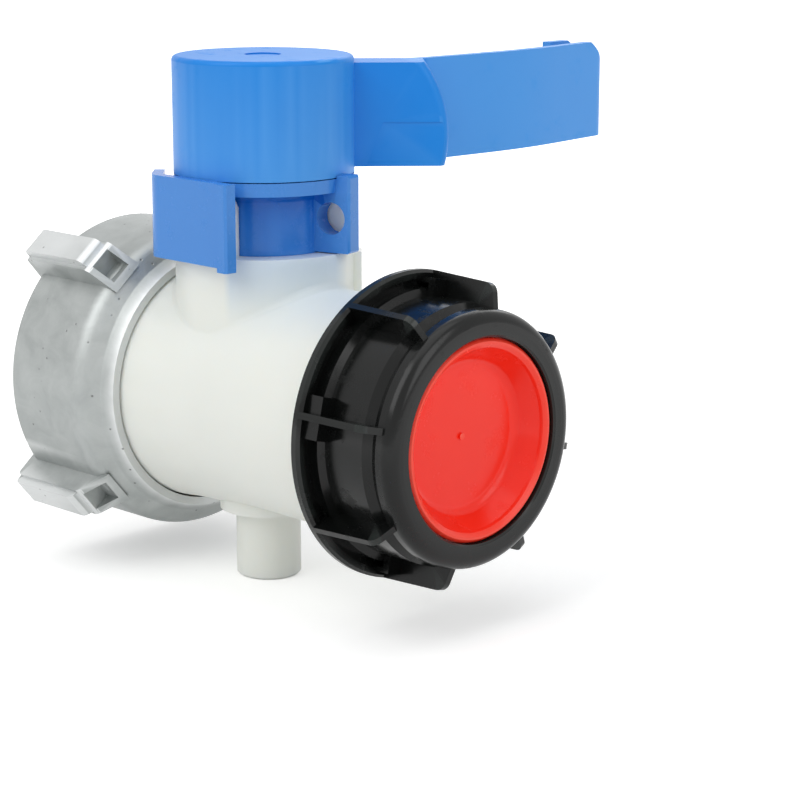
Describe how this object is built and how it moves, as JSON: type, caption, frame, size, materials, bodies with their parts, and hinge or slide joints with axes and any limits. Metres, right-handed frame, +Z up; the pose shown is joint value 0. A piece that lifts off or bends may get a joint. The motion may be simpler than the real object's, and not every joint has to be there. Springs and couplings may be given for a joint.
{
  "type": "ibc tank valve",
  "caption": "Quarter-turn plastic ball valve for a bulk liquid container, with a union nut inlet, lever handle and screwed outlet cap.",
  "frame": {"origin": "centre of the inlet union nut's mouth, on the flow axis", "axes": "+X the way the liquid flows, +Z up along the stem, +Y the way the lever points when the valve is shut"},
  "size_m": [0.1445, 0.1662, 0.1459],
  "materials": {
    "natural_hdpe": "natural polyethylene, milky and slightly see-through",
    "die_cast_aluminium": "as cast, dull with rubbed edges",
    "blue_plastic": "blue moulded polypropylene, satin",
    "black_plastic": "black moulded polypropylene, satin",
    "red_plastic": "red moulded polyethylene, satin",
    "white_ptfe": "white seat plastic, waxy",
    "ball_plastic": "smooth moulded polyethylene",
    "stem_plastic": "glass-filled nylon, dark grey",
    "black_rubber": "EPDM seal rubber",
    "grey_rubber": "EPDM gasket rubber"
  },
  "bodies": {
    "body": {"valve_body": "natural_hdpe", "inlet_insert": "natural_hdpe", "insert_o_ring": "black_rubber", "inlet_gasket": "grey_rubber", "seat_inlet": "white_ptfe", "seat_outlet": "white_ptfe", "seat_ring_inlet": "black_rubber", "seat_ring_outlet": "black_rubber", "stem_washer": "white_ptfe", "stem_bush": "stem_plastic", "lock_collar": "blue_plastic"},
    "lever": {"handle": "blue_plastic", "stem": "stem_plastic", "stem_o_ring_lower": "black_rubber", "stem_o_ring_upper": "black_rubber"},
    "ball": {"ball": "ball_plastic"},
    "nut": {"union_nut": "die_cast_aluminium"},
    "closure": {"cap_disc": "red_plastic", "cap_gasket": "black_rubber"},
    "cap": {"outlet_cap": "black_plastic"}
  },
  "joints": [
    {"name": "lever_turn", "type": "hinge", "parent": "body", "child": "lever", "pos_m": [0.06, 0, 0.045], "axis": [0, 0, -1], "range_deg": [0, 90]},
    {"name": "ball_turn", "type": "hinge", "parent": "body", "child": "ball", "pos_m": [0.06, 0, 0], "axis": [0, 0, -1], "range_deg": [0, 90]},
    {"name": "nut_turn", "type": "hinge", "parent": "body", "child": "nut", "pos_m": [0.015, 0, 0], "axis": [1, 0, 0], "continuous": true},
    {"name": "cap_travel", "type": "slide", "parent": "body", "child": "closure", "axis": [1, 0, 0], "range_m": [0, 0.03]},
    {"name": "cap_turn", "type": "hinge", "parent": "closure", "child": "cap", "pos_m": [0.128, 0, 0], "axis": [1, 0, 0], "range_deg": [0, 1800]}
  ],
  "couplings": [
    {"joint": "ball_turn", "follows": "lever_turn", "ratio": 1},
    {"joint": "cap_travel", "follows": "cap_turn", "m_per_rad": 0.00095492}
  ]
}
